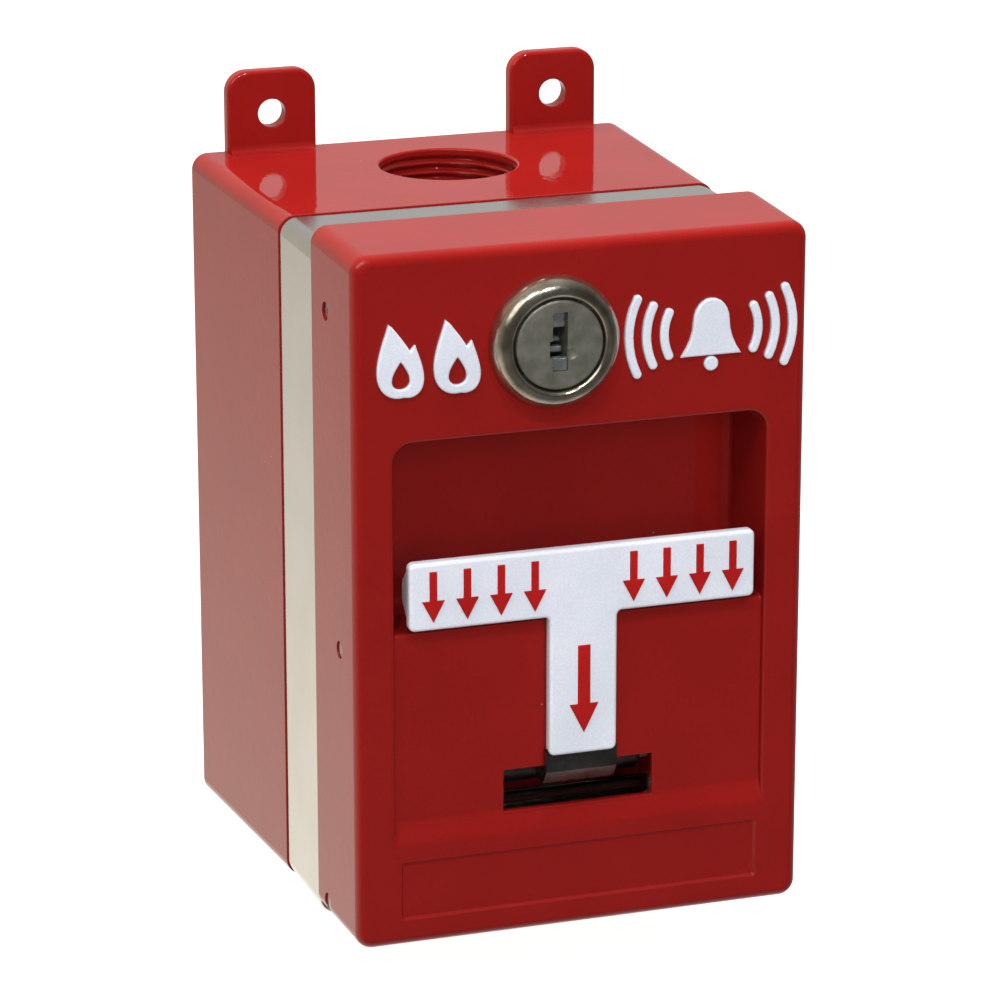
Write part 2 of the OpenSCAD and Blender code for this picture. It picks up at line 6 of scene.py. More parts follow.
import bmesh
import bpy
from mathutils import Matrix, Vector


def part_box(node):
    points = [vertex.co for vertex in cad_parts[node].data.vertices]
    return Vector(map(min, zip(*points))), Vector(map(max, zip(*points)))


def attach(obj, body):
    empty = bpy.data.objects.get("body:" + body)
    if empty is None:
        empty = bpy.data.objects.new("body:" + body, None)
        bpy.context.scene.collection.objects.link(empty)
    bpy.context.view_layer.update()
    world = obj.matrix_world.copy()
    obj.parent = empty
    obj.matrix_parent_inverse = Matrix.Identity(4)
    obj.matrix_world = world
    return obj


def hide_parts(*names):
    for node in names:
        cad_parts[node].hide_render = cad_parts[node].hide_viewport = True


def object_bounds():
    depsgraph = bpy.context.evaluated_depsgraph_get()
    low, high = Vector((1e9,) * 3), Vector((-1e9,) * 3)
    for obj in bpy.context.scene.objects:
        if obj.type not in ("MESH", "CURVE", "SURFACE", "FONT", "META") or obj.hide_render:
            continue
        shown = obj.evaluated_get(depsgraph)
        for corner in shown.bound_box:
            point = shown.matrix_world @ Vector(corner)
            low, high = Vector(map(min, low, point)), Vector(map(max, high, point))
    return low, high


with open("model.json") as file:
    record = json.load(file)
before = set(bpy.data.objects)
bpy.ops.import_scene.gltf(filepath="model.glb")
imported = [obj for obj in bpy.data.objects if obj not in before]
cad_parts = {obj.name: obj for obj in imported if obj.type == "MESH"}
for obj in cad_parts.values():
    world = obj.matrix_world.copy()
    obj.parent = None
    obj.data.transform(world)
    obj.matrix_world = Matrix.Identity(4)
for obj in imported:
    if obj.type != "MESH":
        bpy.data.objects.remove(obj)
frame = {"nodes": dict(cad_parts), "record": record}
cad_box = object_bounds()

# ---------------------------------------------------------------------------
# Working frame: millimetres, X to the right, Y the depth behind the cover's
# front face, Z the height above the cover's lower edge.
# ---------------------------------------------------------------------------

MM = 0.001
NODES = frame["nodes"]
BODY = {node: body for body, names in frame["record"]["behaviour"]["bodies"].items() for node in names}
SLOT_OF = {s["node"]: s["material_slot"] for s in frame["record"]["subparts"]}
ORIGIN = Vector((0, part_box("front_cover")[0].y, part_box("front_cover")[0].z))


def span(node):
    """Lowest and highest corner of a CAD node in the working frame."""
    lo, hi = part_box(node)
    return (lo - ORIGIN) / MM, (hi - ORIGIN) / MM


def middle(node):
    lo, hi = span(node)
    return (lo + hi) / 2


# ---------------------------------------------------------------------------
# Materials
# ---------------------------------------------------------------------------


class Shader:
    """A node material with a Principled shader, and short ways to add nodes."""

    def __init__(self, name, **inputs):
        self.mat = bpy.data.materials.new(name)
        self.mat.use_nodes = True
        self.tree = self.mat.node_tree
        self.bsdf = self.tree.nodes["Principled BSDF"]
        self.where = self.add("ShaderNodeTexCoord").outputs["Object"]
        for key, value in inputs.items():
            self.bsdf.inputs[key.replace("_", " ")].default_value = value

    def add(self, kind, **values):
        node = self.tree.nodes.new(kind)
        for key, value in values.items():
            if key in node.inputs:
                node.inputs[key].default_value = value
            else:
                setattr(node, key, value)
        return node

    def join(self, a, b):
        self.tree.links.new(a, b)

    def noise(self, per_metre, detail=3.0, stretch=None):
        """Noise value with so many cells to the metre, stretched along an axis if asked."""
        where = self.where
        if stretch:
            scale = self.add("ShaderNodeMapping")
            scale.inputs["Scale"].default_value = stretch
            self.join(where, scale.inputs["Vector"])
            where = scale.outputs["Vector"]
        node = self.add("ShaderNodeTexNoise", Scale=per_metre, Detail=detail)
        self.join(where, node.inputs["Vector"])
        return node.outputs["Fac"]

    def ramp(self, source, *stops):
        """Colour ramp over (position, colour) stops."""
        node = self.add("ShaderNodeValToRGB")
        marks = node.color_ramp.elements
        while len(marks) < len(stops):
            marks.new(0.5)
        for mark, (position, colour) in zip(marks, stops):
            mark.position = position
            mark.color = (*colour, 1) if len(colour) == 3 else colour
        self.join(source, node.inputs["Fac"])
        return node.outputs["Color"]

    def spread(self, source, low, high, lo=0.35, hi=0.65):
        """Maps a noise value to a range."""
        node = self.add("ShaderNodeMapRange")
        for key, value in (("From Min", lo), ("From Max", hi), ("To Min", low), ("To Max", high)):
            node.inputs[key].default_value = value
        self.join(source, node.inputs["Value"])
        return node.outputs["Result"]

    def mix(self, factor, a, b):
        """Colour mix; a and b are colours or sockets."""
        node = self.add("ShaderNodeMix", data_type="RGBA")
        self.join(factor, node.inputs["Factor"])
        for socket, value in ((node.inputs[6], a), (node.inputs[7], b)):
            if isinstance(value, tuple):
                socket.default_value = (*value, 1)
            else:
                self.join(value, socket)
        return node.outputs[2]

    def specks(self, per_metre, size):
        """Small scattered spots: 1 on a spot, 0 elsewhere."""
        cells = self.add("ShaderNodeTexVoronoi", Scale=per_metre)
        self.join(self.where, cells.inputs["Vector"])
        near = self.spread(cells.outputs["Distance"], 1.0, 0.0, size * 0.5, size)
        pick = self.add("ShaderNodeSeparateColor")
        self.join(cells.outputs["Color"], pick.inputs["Color"])
        chosen = self.spread(pick.outputs["Red"], 0.0, 1.0, 0.80, 0.82)
        both = self.add("ShaderNodeMath", operation="MULTIPLY")
        self.join(near, both.inputs[0])
        self.join(chosen, both.inputs[1])
        return both.outputs[0]

    def bump(self, height, strength, distance, coat=False):
        node = self.add("ShaderNodeBump", Strength=strength, Distance=distance)
        self.join(height, node.inputs["Height"])
        self.join(node.outputs["Normal"], self.bsdf.inputs["Normal"])
        if coat:
            self.join(node.outputs["Normal"], self.bsdf.inputs["Coat Normal"])

    def set(self, name, source):
        self.join(source, self.bsdf.inputs[name])
        return self


def enamel(name, colour, dark, speck):
    """Gloss enamel over a casting: slight orange peel, faint clouding and a few pits."""
    s = Shader(name, Roughness=0.42, Coat_Weight=1.0, Coat_Roughness=0.045, Coat_IOR=1.52)
    s.bsdf.inputs["Specular IOR Level"].default_value = 0.0
    cloud = s.mix(s.spread(s.noise(70, 5), 0.0, 1.0), dark, colour)
    grain = s.mix(s.spread(s.noise(2600, 2), 0.0, 0.16), cloud, tuple(0.6 * c for c in dark))
    s.set("Base Color", s.mix(s.specks(150, 0.03), grain, speck))
    s.set("Coat Roughness", s.spread(s.noise(160, 3), 0.03, 0.075))
    s.bump(s.noise(420, 2), 0.10, 0.00016, coat=True)
    return s.mat


def metal(name, colour, dark, roughness, stretch=None, grain=600, coarse=60, sheen=1.0):
    """Bare or plated metal with a fine directional grain and soft staining; a low sheen looks etched."""
    s = Shader(name, Metallic=sheen)
    s.set("Base Color", s.mix(s.spread(s.noise(coarse, 6), 0.0, 1.0), colour, dark))
    s.set("Roughness", s.spread(s.noise(grain, 4, stretch), roughness * 0.8, roughness * 1.3))
    s.bump(s.noise(grain * 2, 3, stretch), 0.12, 0.00008)
    return s.mat


def moulded(name, colour, roughness, grain=900):
    """Moulded resin, rubber or insulation."""
    s = Shader(name)
    s.set("Base Color", s.mix(s.spread(s.noise(120, 4), 0.0, 1.0), colour, tuple(0.6 * c for c in colour)))
    s.set("Roughness", s.spread(s.noise(grain, 3), roughness * 0.85, roughness * 1.15))
    s.bump(s.noise(grain, 3), 0.2, 0.00006)
    return s.mat


def glass(name):
    """Drawn glass rod, smoky green, with faint waves along it."""
    s = Shader(name, Transmission_Weight=1.0, Roughness=0.0, IOR=1.5)
    s.set("Base Color", s.mix(s.noise(80, 2), (0.42, 0.50, 0.38), (0.54, 0.62, 0.48)))
    s.bump(s.noise(90, 1, (0.3, 1, 1)), 0.08, 0.0002)
    return s.mat


MATERIALS = {
    "red_enamel": enamel("red_enamel", (0.285, 0.0100, 0.0082), (0.262, 0.0090, 0.0074), (0.50, 0.22, 0.19)),
    "white_enamel": enamel("white_enamel", (0.82, 0.85, 0.94), (0.74, 0.78, 0.87), (0.5, 0.5, 0.55)),
    "sign_white": enamel("sign_white", (0.78, 0.81, 0.90), (0.70, 0.74, 0.84), (0.5, 0.45, 0.5)),
    "sign_red": enamel("sign_red", (0.50, 0.012, 0.012), (0.40, 0.010, 0.010), (0.5, 0.1, 0.1)),
    "cast_alloy": metal("cast_alloy", (0.755, 0.75, 0.74), (0.715, 0.71, 0.68), 0.12, (1, 6, 1), 420, 75),
    "nickel": metal("nickel", (0.68, 0.63, 0.52), (0.41, 0.35, 0.26), 0.20, None, 900, 240, 0.96),
    "wafer_plate": metal("wafer_plate", (0.62, 0.66, 0.70), (0.34, 0.36, 0.37), 0.28, None, 900, 240, 0.85),
    "plug_face": metal("plug_face", (0.25, 0.245, 0.205), (0.17, 0.165, 0.13), 0.38, (1, 1, 6), 1400, 420,
                       0.55),
    "zinc_steel": metal("zinc_steel", (0.62, 0.62, 0.60), (0.47, 0.46, 0.43), 0.34, None, 800, 150, 0.72),
    "neck_steel": metal("neck_steel", (0.30, 0.29, 0.28), (0.16, 0.15, 0.13), 0.34, None, 900, 150),
    "brass": metal("brass", (0.68, 0.47, 0.19), (0.50, 0.33, 0.12), 0.28, None, 800, 150),
    "green_screw": enamel("green_screw", (0.03, 0.22, 0.07), (0.02, 0.15, 0.05), (0.1, 0.3, 0.1)),
    "black_rubber": moulded("black_rubber", (0.018, 0.018, 0.018), 0.75),
    "phenolic": moulded("phenolic", (0.035, 0.024, 0.020), 0.40),
    "wire_red": moulded("wire_red", (0.38, 0.015, 0.012), 0.38),
    "wire_black": moulded("wire_black", (0.014, 0.014, 0.015), 0.38),
    "clear_glass": glass("clear_glass"),
}

# ---------------------------------------------------------------------------
# Solid modelling in bmesh: lofts, turned forms, prisms and booleans
# ---------------------------------------------------------------------------


def outline(w, z0, z1, r, y, steps=8, foot_r=None):
    """Rounded rectangle about x = 0 at depth y; its lower corners may have their own radius."""
    points = []
    top, foot = r, foot_r or r
    for side, start, r in ((1, 0, top), (-1, 90, top), (-1, 180, foot), (1, 270, foot)):
        cx, cz = side, (z1 - r if start < 180 else z0 + r)
        for i in range(steps + 1):
            a = math.radians(start + 90 * i / steps)
            points.append(Vector((cx * (w / 2 - r) + r * math.cos(a), y, cz + r * math.sin(a))))
    return points


def loft(rings):
    """Closed solid through rings of equal length, capped at both ends."""
    bm = bmesh.new()
    rows = [[bm.verts.new(p) for p in ring] for ring in rings]
    n = len(rows[0])
    for a, b in zip(rows, rows[1:]):
        for i in range(n):
            bm.faces.new((a[i], a[(i + 1) % n], b[(i + 1) % n], b[i]))
    bm.faces.new(rows[0])
    bm.faces.new(rows[-1])
    return tidy(bm)


def tidy(bm):
    bmesh.ops.remove_doubles(bm, verts=bm.verts, dist=0.0005)
    bmesh.ops.recalc_face_normals(bm, faces=bm.faces)
    return bm


def quarter(radius, steps=6):
    """(along, across) of a quarter round: across falls from radius to 0 as along rises to radius."""
    for i in range(steps + 1):
        a = math.radians(90 * i / steps)
        yield radius * (1 - math.cos(a)), radius * (1 - math.sin(a))


def slab(shape, y0, y1, front=0.0, back=0.0):
    """Solid between two depths with rounded edges; shape(inset, y) gives a ring."""
    rings = []
    if front:
        rings += [shape(across, y0 + along) for along, across in quarter(front)]
    else:
        rings.append(shape(0, y0))
    if back:
        rings += [shape(across, y1 - along) for along, across in reversed(list(quarter(back)))]
    else:
        rings.append(shape(0, y1))
    return loft(rings)


def plate(w, z0, z1, r, y0, y1, front=0.0, back=0.0, x=0.0):
    """Rounded rectangular slab."""

    def shape(inset, y):
        ring = outline(w - 2 * inset, z0 + inset, z1 - inset, max(r - inset, 0.05), y)
        return [p + Vector((x, 0, 0)) for p in ring]

    return slab(shape, y0, y1, front, back)


def turned(profile, axis, centre, steps=96):
    """Solid of revolution. profile holds (radius, along) pairs and begins and ends on the axis or closes."""
    bm = bmesh.new()
    closed = profile[0][0] > 0
    rows = []
    for radius, along in profile:
        if radius <= 0:
            rows.append([bm.verts.new(spin(axis, centre, 0, along, 0))])
        else:
            rows.append([bm.verts.new(spin(axis, centre, radius, along, 2 * math.pi * i / steps))
                         for i in range(steps)])
    pairs = list(zip(rows, rows[1:])) + ([(rows[-1], rows[0])] if closed else [])
    for a, b in pairs:
        for i in range(steps):
            j = (i + 1) % steps
            corner = [a[i % len(a)], a[j % len(a)], b[j % len(b)], b[i % len(b)]]
            unique = list(dict.fromkeys(corner))
            if len(unique) > 2:
                bm.faces.new(unique)
    return tidy(bm)


def spin(axis, centre, radius, along, angle):
    """A point round an axis through centre: along the axis, at a radius and an angle."""
    c, s = radius * math.cos(angle), radius * math.sin(angle)
    offset = {"X": (along, c, s), "Y": (c, along, s), "Z": (c, s, along)}[axis]
    return Vector(centre) + Vector(offset)


def rod(axis, centre, radius, a, b, ease=0.0, steps=48):
    """Round bar from a to b along an axis, its ends rounded when ease is given."""
    profile = [(0, a)]
    if ease:
        profile += [(radius - across, a + along) for along, across in quarter(ease, 4)]
        profile += [(radius - across, b - along) for along, across in reversed(list(quarter(ease, 4)))]
    else:
        profile += [(radius, a), (radius, b)]
    return turned(profile + [(0, b)], axis, centre, steps)


def block(x0, x1, y0, y1, z0, z1):
    return prism_x([(y0, z0), (y1, z0), (y1, z1), (y0, z1)], x0, x1)


def prism_x(points, x0, x1):
    """Prism along X over (depth, height) points."""
    return loft([[Vector((x, y, z)) for y, z in points] for x in (x0, x1)])


def as_object(bm):
    mesh = bpy.data.meshes.new("work")
    bm.to_mesh(mesh)
    bm.free()
    obj = bpy.data.objects.new("work", mesh)
    bpy.context.scene.collection.objects.link(obj)
    return obj


def boolean(base, tools, operation):
    """Combines a solid with others, which are used up."""
    work = [as_object(bm) for bm in [base, *tools]]
    for tool in work[1:]:
        mod = work[0].modifiers.new("combine", "BOOLEAN")
        mod.operation = operation
        mod.solver = "EXACT"
        mod.object = tool
    result = work[0].evaluated_get(bpy.context.evaluated_depsgraph_get()).to_mesh()
    bm = bmesh.new()
    bm.from_mesh(result)
    for obj in work:
        mesh = obj.data
        bpy.data.objects.remove(obj)
        bpy.data.meshes.remove(mesh)
    bmesh.ops.remove_doubles(bm, verts=bm.verts, dist=0.002)
    return bm


def cut(base, *tools):
    return boolean(base, tools, "DIFFERENCE")


def join(base, *tools):
    return boolean(base, tools, "UNION")


# ---------------------------------------------------------------------------
# Pieces
# ---------------------------------------------------------------------------

SHARP = math.radians(33)


def place(name, bm, nodes=(), slot=None, body=None, material=None, sharp=SHARP):
    """Turns a working-frame bmesh into a piece that rides on a body and stands for some nodes."""
    slot = slot or SLOT_OF[nodes[0]]
    for v in bm.verts:
        v.co = v.co * MM + ORIGIN
    for f in bm.faces:
        f.smooth = True
    for e in bm.edges:
        e.smooth = len(e.link_faces) == 2 and e.calc_face_angle(0) < sharp
    mesh = bpy.data.meshes.new(name)
    bm.to_mesh(mesh)
    bm.free()
    mesh.materials.append(MATERIALS[material or slot])
    obj = bpy.data.objects.new(name, mesh)
    bpy.context.scene.collection.objects.link(obj)
    normals = obj.modifiers.new("even_normals", "WEIGHTED_NORMAL")
    normals.keep_sharp = True
    normals.weight = 100
    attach(obj, body or BODY[nodes[0]])
    if nodes:
        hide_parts(*nodes)
    return obj


# Cover ---------------------------------------------------------------------

COVER_LO, COVER_HI = span("front_cover")
COVER_W, COVER_D, COVER_H = COVER_HI - COVER_LO
WALL = 2.5
DRAFT = 0.36
FRONT_ROUND = 1.9
CORNER = 3.0
RECESS_W = 67.6
RECESS_TOP = 91.2
POCKET_LOW = 57.0
POCKET_DEPTH = 17.5
PANEL_DEPTH = 1.5
PANEL_LOW = 23.5
SHELF_LOW = 18.4
RECESS_R = 3.4
PIN_HOLES = (("side_set_screws", 1.65), ("cross_pin", 1.55), ("hinge_pin", 1.65))


def cover_outer(inset, y):
    lean = DRAFT * (1 - y / COVER_D) + inset
    return outline(COVER_W - 2 * lean, lean, COVER_H - lean, max(CORNER - inset, 0.4), y, 10)


def recess_cutter():
    """Shallow panel with a rounded rim, running out at its foot in a soft S-shaped shelf."""
    rim = 0.9
    rings = []
    for step in range(-1, 17):
        t = max(step, 0) / 16
        y = PANEL_DEPTH * t * t * (3 - 2 * t) if step >= 0 else -1
        flare = rim - math.sqrt(rim ** 2 - (rim - min(max(y, 0), rim)) ** 2)
        low = SHELF_LOW + (PANEL_LOW - SHELF_LOW) * t
        top = RECESS_TOP + flare
        rings.append(outline(RECESS_W + 2 * flare, low, top, RECESS_R + flare, y, foot_r=0.8))
    return loft(rings)


def pocket_cutter():
    """Finger pocket: rounded lip along its lower edge, rounded where walls meet the floor."""
    lip = 1.0
    floor_round = 1.6
    rings = [outline(RECESS_W, POCKET_LOW - lip, RECESS_TOP, 0.6, PANEL_DEPTH - 0.4)]
    for along, across in quarter(lip):
        rings.append(outline(RECESS_W, POCKET_LOW - across, RECESS_TOP, 0.6, PANEL_DEPTH + along))
    for along, across in reversed(list(quarter(floor_round))):
        y = POCKET_DEPTH - along
        rings.append(outline(RECESS_W - 2 * across, POCKET_LOW + across, RECESS_TOP - across, 1.2, y))
    top = cut(loft(rings), corner_keep())
    return top


def corner_keep():
    """What the pocket leaves in its two upper corners, so that they follow the rim's curve."""
    r = RECESS_R
    w, z = RECESS_W / 2, RECESS_TOP
    frame_block = block(-w - 1, w + 1, 0, POCKET_DEPTH + 1, z - r, z + 1)
    return cut(frame_block, plate(RECESS_W, POCKET_LOW, RECESS_TOP, r, -1, POCKET_DEPTH + 2))


def slot_cutter():
    half = 13.7
    low, high = 22.5, 30.1
    rim = 0.3
    rings = []
    for along, across in quarter(rim, 4):
        y = PANEL_DEPTH + along
        rings.append(outline(2 * (half + across), low - across, high + across, 0.15 + across, y, 4))
    rings.insert(0, [Vector((p.x, PANEL_DEPTH - 1, p.z)) for p in rings[0]])
    rings.append(outline(2 * half, low, high, 0.15, 9, 4))
    return loft(rings)


def label_cutter():
    """Shallow label panel with softened borders."""
    depth = 0.55
    soft = 0.45
    rings = [outline(65 + 2 * soft, 5.6 - soft, 15.5 + soft, 0.3 + soft, -1)]
    for step in range(5):
        t = step / 4
        out = soft * (1 - t)
        rings.append(outline(65 + 2 * out, 5.6 - out, 15.5 + out, 0.3 + out, depth * t * t * (3 - 2 * t)))
    return loft(rings)


def front_cover():
    inner_w = COVER_W - 2 * WALL
    body = slab(cover_outer, 0, COVER_D, FRONT_ROUND, 0.4)
    cavity = plate(inner_w, WALL, COVER_H - WALL, 2, WALL, COVER_D + 1, 0.8)
    back_w = RECESS_W + 4
    cavity = cut(
        cavity,
        plate(back_w, POCKET_LOW - 2, RECESS_TOP + 2, 3, 0, POCKET_DEPTH + 2, 0, 1),
        plate(back_w, SHELF_LOW - 3, POCKET_LOW + 3, 3, 0, PANEL_DEPTH + WALL, 0, 0.6),
    )
    body = cut(body, cavity)
    body = cut(body, recess_cutter())
    body = cut(body, pocket_cutter())
    tools = [slot_cutter(), label_cutter()]
    tools.append(plate(29.4, 20.8, 31.2, 0.5, PANEL_DEPTH + 1.2, 9))
    lock = middle("lock_body")
    tools.append(rod("Y", (lock.x, 0, lock.z), 8.1, -1, WALL + 1))
    for node, radius in PIN_HOLES:
        at = middle(node)
        reach = COVER_W / 2
        for a, b in ((-reach - 1, -reach + WALL + 1), (reach - WALL - 1, reach + 1)):
            tools.append(rod("X", (0, at.y, at.z), radius, a, b, steps=32))
    hinge = middle("hinge_pin")
    tools.append(rod("X", (0, hinge.y, hinge.z), 1.8, -inner_w / 2, inner_w / 2, steps=32))
    for x0 in (27, -35):
        tools.append(block(x0, x0 + 8, 13.8, COVER_D + 1, -1, 3))
    body = cut(body, *tools)
    carriers = [block(x0, x0 + 4, 3.5, 12, 19.5, 32.5) for x0 in (15, -19)]
    place("cover_shell", join(body, *carriers), ("front_cover",))


# Back box ------------------------------------------------------------------

BOX_LO, BOX_HI = span("back_box")
BOX_W = 81.5
BOX_FOOT = -2.2
SIDE_DRAFT = BOX_HI.x - BOX_W / 2
FOOT_DRAFT = BOX_FOOT - BOX_LO.z
BOX_FRONT = BOX_LO.y - 0.5
BOX_TOP = COVER_H - 3.4
BOX_WALL = 3.5
EAR_T = 3.2
EAR_W = 17.0
EAR_X = 27.4
EAR_HOLE_RISE = 7.1
ENTRY_R = 12.5
FRAME_WALL = 3.0
BOSS_R = 4.5
BOSS_BITE = 0.3
BOSS_REACH = FRAME_WALL + BOSS_R - BOSS_BITE
FRAME_LO, FRAME_HI = span("spacer_frame")
BOSSES = [(x, z) for x in (FRAME_LO.x + BOSS_REACH, FRAME_HI.x - BOSS_REACH)
          for z in (FRAME_LO.z + BOSS_REACH, FRAME_HI.z - BOSS_REACH)]


def ear(x):
    """Ear with rounded edges and a rounded foot in front; back_box cuts its screw hole."""
    front, back = BOX_HI.y - EAR_T, BOX_HI.y
    tab = plate(EAR_W, BOX_TOP - 9, BOX_HI.z, 4, front, back, 0.8, 0.8, x)
    foot = 1.5
    arc = [(front - foot + foot * math.sin(a), BOX_TOP + foot - foot * math.cos(a)) for a in
           (math.radians(15 * i) for i in range(7))]
    web = prism_x(arc + [(front + 1, BOX_TOP + foot), (front + 1, BOX_TOP - 1), (front - foot, BOX_TOP - 1)],
                  x - EAR_W / 2 + 0.5, x + EAR_W / 2 - 0.5)
    return [tab, web]


def hole_cutter(axis, centre, radius, a, b, rim):
    """Round hole with rounded rims at both ends, where it breaks out at a and b."""
    flare = list(quarter(rim, 4))
    profile = [(0, a - 1), (radius + rim, a - 1)]
    profile += [(radius + across, a + along) for along, across in flare]
    profile += [(radius + across, b - along) for along, across in reversed(flare)]
    profile += [(radius + rim, b + 1), (0, b + 1)]
    return turned(profile, axis, centre, 64)


def back_box():
    def shape(inset, y):
        back = (y - BOX_LO.y) / (BOX_HI.y - BOX_LO.y)
        side = BOX_W / 2 + SIDE_DRAFT * back - inset
        foot = BOX_FOOT - FOOT_DRAFT * back + inset
        return outline(2 * side, foot, BOX_TOP - inset, 3 - min(inset, 2.4), y, 10)

    body = slab(shape, BOX_FRONT, BOX_HI.y, 0.2, 0.8)
    cavity = plate(BOX_W - 2 * BOX_WALL, BOX_FOOT + BOX_WALL, BOX_TOP - BOX_WALL, 2,
                   BOX_FRONT - 1, BOX_HI.y - BOX_WALL, 0, 1.5)
    body = cut(body, cavity)
    entry = middle("back_box")
    entry.y = BOX_LO.y + 28.5
    add = ear(-EAR_X) + ear(EAR_X)
    add += [rod("Y", (x, 0, z), BOSS_R, BOX_LO.y, BOX_HI.y - 1, 0, 32) for x, z in BOSSES]
    add.append(rod("Z", (0, entry.y, 0), 17, BOX_TOP - 12.5, BOX_TOP - 1, 0, 64))
    body = join(body, *add)
    tools = [hole_cutter("Y", (x, 0, BOX_TOP + EAR_HOLE_RISE), 2.6, BOX_HI.y - EAR_T, BOX_HI.y, 0.35)
             for x in (-EAR_X, EAR_X)]
    tools += [rod("Y", (x, 0, z), 1.6, BOX_LO.y - 1, BOX_LO.y + 16, 0, 24) for x, z in BOSSES]
    tools.append(rod("Z", (0, entry.y, 0), ENTRY_R + 0.85, BOX_TOP - 14, BOX_TOP - 1.1, 0, 96))
    tools.append(hole_cutter("Z", (0, entry.y, 0), ENTRY_R + 0.1, BOX_TOP - 13, BOX_TOP, 0.5))
    body = cut(body, *tools)
    place("box_shell", body, ("back_box",))
    place("entry_thread", thread_sleeve(entry.y), (), "red_enamel", BODY["back_box"])


def thread_sleeve(y, pitch=1.8, depth=0.75, steps=72, rows_per_turn=10):
    """Helical internal thread of the conduit entry, as a closed sleeve."""
    low, high = BOX_TOP - 12.5, BOX_TOP - 1.0
    count = int((high - low) / pitch * rows_per_turn)
    bm = bmesh.new()
    inner = []
    for k in range(count + 1):
        z = low + (high - low) * k / count
        row = []
        for i in range(steps):
            turn = i / steps
            groove = abs(2 * ((z / pitch - turn) % 1) - 1)
            groove = min(max(groove * 1.5 - 0.25, 0), 1)
            fade = min(1, (high - z) / 1.2, (z - low) / 1.2)
            radius = ENTRY_R + depth * groove * fade
            row.append(bm.verts.new(spin("Z", (0, y, 0), radius, z, 2 * math.pi * turn)))
        inner.append(row)
    outer = [[bm.verts.new(spin("Z", (0, y, 0), ENTRY_R + 0.9, z, 2 * math.pi * i / steps))
              for i in range(steps)]
             for z in (high, low)]
    rows = inner + outer
    for a, b in zip(rows, rows[1:] + rows[:1]):
        for i in range(steps):
            j = (i + 1) % steps
            bm.faces.new((a[i], a[j], b[j], b[i]))
    return tidy(bm)


# Spacer frame ----------------------------------------------------------------


def spacer_frame():
    lo, hi = span("spacer_frame")
    front = COVER_D + 1
    wall = FRAME_WALL
    w = hi.x - lo.x

    def shape(inset, y):
        return outline(w - 2 * inset, lo.z + inset, hi.z - inset, 3 - min(inset, 2.4), y, 10)

    body = slab(shape, front, hi.y, 0.5, 0.3)
    body = cut(body, plate(w - 2 * wall, lo.z + wall, hi.z - wall, 2, front - 1, hi.y + 1))
    hinge = middle("hinge_pin")
    add = [rod("Y", (x, 0, z), BOSS_R, hi.y - 4, hi.y, 0, 32) for x, z in BOSSES]
    plate_y = span("chassis_plate")[0].y
    for side in (-1, 1):
        edge = side * (w / 2 - wall)
        x0, x1 = sorted((edge + side, edge - side * 6))
        add.append(block(x0, x1, plate_y - 3, plate_y, 22, 98))
    for x0 in (28, -34):
        add.append(rod("X", (0, hinge.y, hinge.z), 2.6, x0, x0 + 6, 0.3))
        add.append(block(x0, x0 + 6, hinge.y, front + 1, hinge.z - 2.6, hinge.z + 2.6))
    body = join(body, *add)
    tools = [rod("X", (0, hinge.y, hinge.z), 1.56, x0 - 1, x0 + 7, 0, 32) for x0 in (28, -34)]
    tools += [rod("Y", (x, 0, z), 1.75, hi.y - 5, hi.y + 1, 0, 24) for x, z in BOSSES]
    place("band", cut(body, *tools), ("spacer_frame",))


# Handle ------------------------------------------------------------------------

BAR_HALF = 31.5
BAR_LOW, BAR_HIGH = 58.0, 70.2
STEM_HALF = 6.2
STEM_LOW = 32.6
HANDLE_FACE = -1.0
STEM_T = 2.2


def arc(cx, cz, r, a0, a1, steps=5):
    return [(cx + r * math.cos(math.radians(a0 + (a1 - a0) * i / steps)),
             cz + r * math.sin(math.radians(a0 + (a1 - a0) * i / steps))) for i in range(steps + 1)]


def t_ring(inset, y, r=1.1):
    """The handle's T outline, inset, with rounded corners and filleted inner corners."""
    b, s = BAR_HALF - inset, STEM_HALF - inset
    low, high, foot = BAR_LOW + inset, BAR_HIGH - inset, STEM_LOW + inset
    out, into = max(r - inset, 0.1), r * 0.8 + inset
    points = arc(b - out, high - out, out, 0, 90) + arc(-b + out, high - out, out, 90, 180)
    points += arc(-b + out, low + out, out, 180, 270) + arc(-s - into, low - into, into, 90, 0)
    points += arc(-s + out, foot + out, out, 180, 270) + arc(s - out, foot + out, out, 270, 360)
    points += arc(s + into, low - into, into, 180, 90) + arc(b - out, low + out, out, 270, 360)
    return [Vector((x, y, z)) for x, z in points]


def bar_back():
    """Finger ridge behind the cross bar, tapered a little to its ends."""
    mid = (BAR_LOW + BAR_HIGH) / 2
    section = [(0.2, BAR_LOW + 0.5), (0.2, BAR_HIGH - 0.5), (0.9, BAR_HIGH - 0.9), (4.5, mid + 2.2),
               (5.0, mid + 1.2), (5.0, mid - 1.2), (4.5, mid - 2.2), (0.9, BAR_LOW + 0.9)]
    rings = []
    ends = ((0.3, 0.85), (0.7, 0.96), (1.4, 1.0))
    stations = [(inward - BAR_HALF, shrink) for inward, shrink in ends]
    stations += [(BAR_HALF - inward, shrink) for inward, shrink in reversed(ends)]
    for x, shrink in stations:
        rings.append([Vector((x, max(y * shrink, 0.2), mid + (z - mid) * (0.9 + 0.1 * shrink)))
                      for y, z in section])
    return loft(rings)


